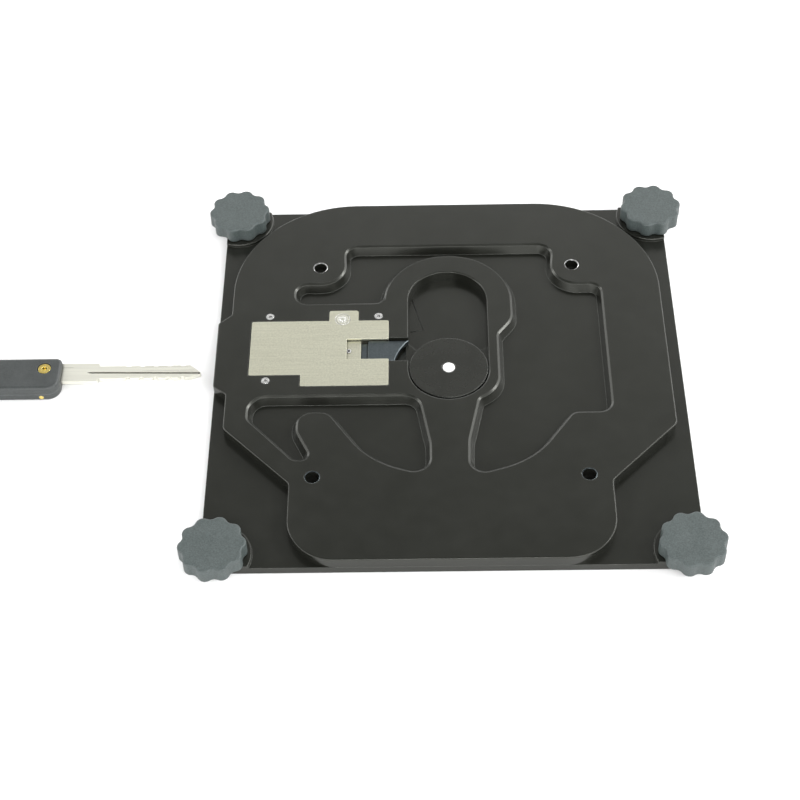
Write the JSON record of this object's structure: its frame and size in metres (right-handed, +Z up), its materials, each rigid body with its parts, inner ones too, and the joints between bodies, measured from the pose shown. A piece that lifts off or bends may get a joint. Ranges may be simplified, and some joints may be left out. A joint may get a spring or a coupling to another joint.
{
  "type": "steering wheel lock",
  "caption": "Flat square steering wheel lock plate with a cassette lock, a push key, a sliding hub disc and star knobs on its corners.",
  "frame": {"origin": "centre of the base plate's underside", "axes": "+Z up through the plates, +X to the right seen from the front, the key lies on the -X side, +Y to the rear"},
  "size_m": [0.2664, 0.1718, 0.0098],
  "materials": {
    "black_plate": "satin black anodised, fine grain",
    "plated_sheet": "brushed zinc-nickel plate",
    "bright_steel": "bright turned",
    "dark_steel": "dark blued, ground",
    "spring_steel": "drawn wire",
    "black_disc": "satin black",
    "polished_pin": "polished",
    "nickel_silver": "milled nickel silver",
    "key_plastic": "satin moulded",
    "brass_screw": "bright",
    "wafer_brass": "stamped",
    "knob_plastic": "fine moulded texture",
    "brass_insert": "turned"
  },
  "bodies": {
    "frame": {"base_plate": "black_plate", "body_plate": "black_plate", "lock_case": "plated_sheet", "lock_cover": "plated_sheet", "case_screws": "bright_steel", "plate_screws": "dark_steel", "knob_studs": "bright_steel", "bolt_spring": "spring_steel"},
    "carriage": {"carriage_block": "bright_steel", "carriage_deck": "plated_sheet", "bolt": "dark_steel", "link_pin": "bright_steel", "wafer_spring": "spring_steel"},
    "hub": {"hub_cap": "black_disc", "hub_neck": "bright_steel", "hub_pin": "polished_pin"},
    "key": {"key_blade": "nickel_silver", "key_head_lower": "key_plastic", "key_head_upper": "key_plastic", "key_screw": "brass_screw", "key_pin": "brass_screw"},
    "wafer_1": {"wafer_1": "wafer_brass"},
    "wafer_2": {"wafer_2": "wafer_brass"},
    "wafer_3": {"wafer_3": "wafer_brass"},
    "wafer_4": {"wafer_4": "wafer_brass"},
    "wafer_5": {"wafer_5": "wafer_brass"},
    "knob_rear_left": {"knob_rear_left": "knob_plastic", "insert_rear_left": "brass_insert"},
    "knob_rear_right": {"knob_rear_right": "knob_plastic", "insert_rear_right": "brass_insert"},
    "knob_front_left": {"knob_front_left": "knob_plastic", "insert_front_left": "brass_insert"},
    "knob_front_right": {"knob_front_right": "knob_plastic", "insert_front_right": "brass_insert"}
  },
  "joints": [
    {"name": "bolt_throw", "type": "slide", "parent": "frame", "child": "carriage", "axis": [1, 0, 0], "range_m": [0, 0.008], "stiffness_N_per_m": 150, "springref_m": -0.004, "deforming": ["bolt_spring"]},
    {"name": "key_insert", "type": "slide", "parent": "carriage", "child": "key", "axis": [1, 0, 0], "range_m": [0, 0.044]},
    {"name": "hub_slide", "type": "slide", "parent": "frame", "child": "hub", "axis": [0, 1, 0], "range_m": [0, 0.0309]},
    {"name": "wafer_1_lift", "type": "slide", "parent": "carriage", "child": "wafer_1", "axis": [0, 1, 0], "range_m": [0, 0.0005], "stiffness_N_per_m": 20, "springref_m": -0.001},
    {"name": "wafer_2_lift", "type": "slide", "parent": "carriage", "child": "wafer_2", "axis": [0, 1, 0], "range_m": [0, 0.0005], "stiffness_N_per_m": 20, "springref_m": -0.001},
    {"name": "wafer_3_lift", "type": "slide", "parent": "carriage", "child": "wafer_3", "axis": [0, 1, 0], "range_m": [0, 0.0005], "stiffness_N_per_m": 20, "springref_m": -0.001},
    {"name": "wafer_4_lift", "type": "slide", "parent": "carriage", "child": "wafer_4", "axis": [0, 1, 0], "range_m": [0, 0.0005], "stiffness_N_per_m": 20, "springref_m": -0.001},
    {"name": "wafer_5_lift", "type": "slide", "parent": "carriage", "child": "wafer_5", "axis": [0, 1, 0], "range_m": [0, 0.0005], "stiffness_N_per_m": 20, "springref_m": -0.001},
    {"name": "knob_rear_left_turn", "type": "hinge", "parent": "frame", "child": "knob_rear_left", "pos_m": [-0.0755, 0.0752, 0], "axis": [0, 0, 1], "continuous": true},
    {"name": "knob_rear_right_turn", "type": "hinge", "parent": "frame", "child": "knob_rear_right", "pos_m": [0.0755, 0.0752, 0], "axis": [0, 0, 1], "continuous": true},
    {"name": "knob_front_left_turn", "type": "hinge", "parent": "frame", "child": "knob_front_left", "pos_m": [-0.0755, -0.0752, 0], "axis": [0, 0, 1], "continuous": true},
    {"name": "knob_front_right_turn", "type": "hinge", "parent": "frame", "child": "knob_front_right", "pos_m": [0.0755, -0.0752, 0], "axis": [0, 0, 1], "continuous": true}
  ]
}
